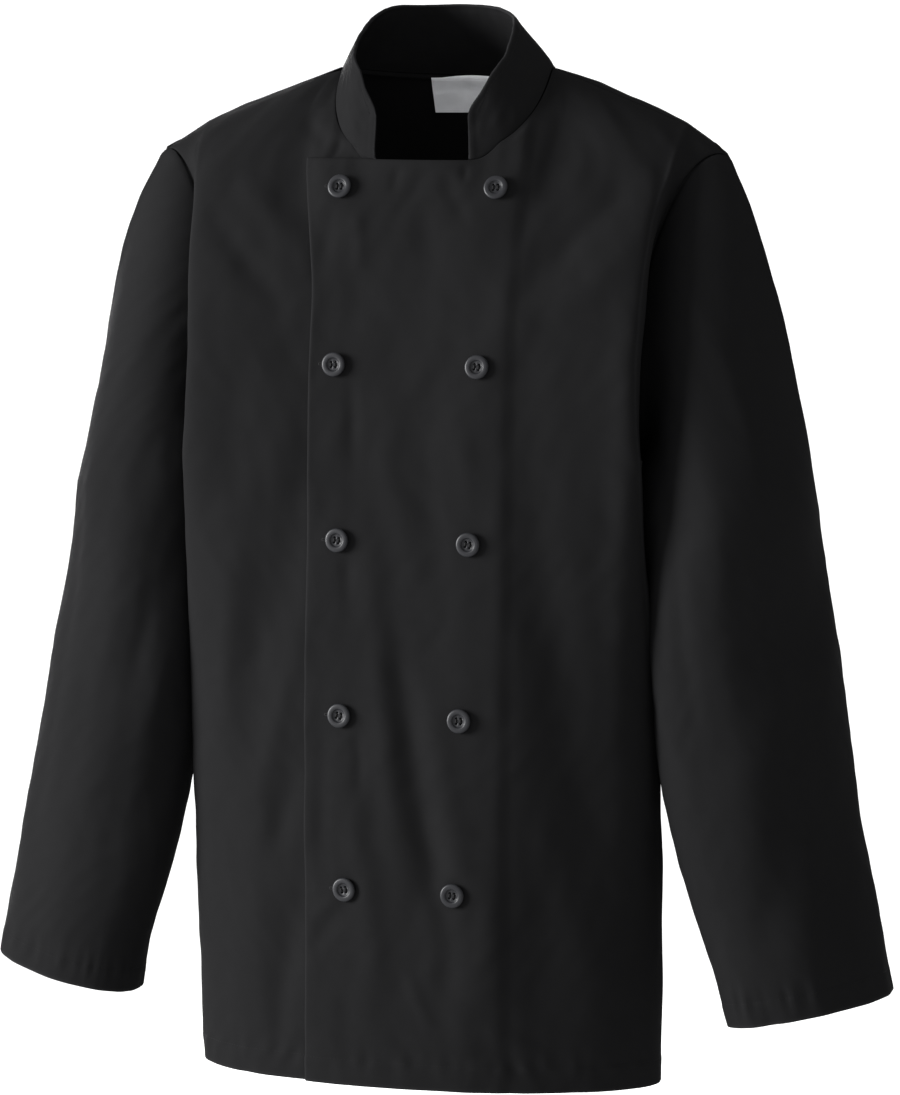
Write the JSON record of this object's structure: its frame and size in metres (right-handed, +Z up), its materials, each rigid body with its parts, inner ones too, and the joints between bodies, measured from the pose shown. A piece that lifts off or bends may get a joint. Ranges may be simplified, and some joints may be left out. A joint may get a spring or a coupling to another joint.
{
  "type": "chef jacket",
  "caption": "Long-sleeved double-breasted chef jacket with a stand collar and buttoned front, filled out as worn and hollow inside.",
  "frame": {"origin": "middle of the neck opening, level with the two points where the shoulder seams meet the collar", "axes": "+X to the wearer's left, +Y to the wearer's back, +Z up"},
  "size_m": [0.6978, 0.2191, 0.795],
  "materials": {
    "cloth": "matte black poly-cotton twill",
    "button": "semi-gloss black",
    "label": "white woven, bare"
  },
  "bodies": {
    "root": {"front_left": "cloth", "front_right": "cloth", "back": "cloth", "sleeve_left": "cloth", "sleeve_right": "cloth", "collar": "cloth", "neck_label": "label", "button_left_1": "button", "button_left_2": "button", "button_left_3": "button", "button_left_4": "button", "button_left_5": "button", "button_right_1": "button", "button_right_2": "button", "button_right_3": "button", "button_right_4": "button", "button_right_5": "button"}
  },
  "joints": []
}
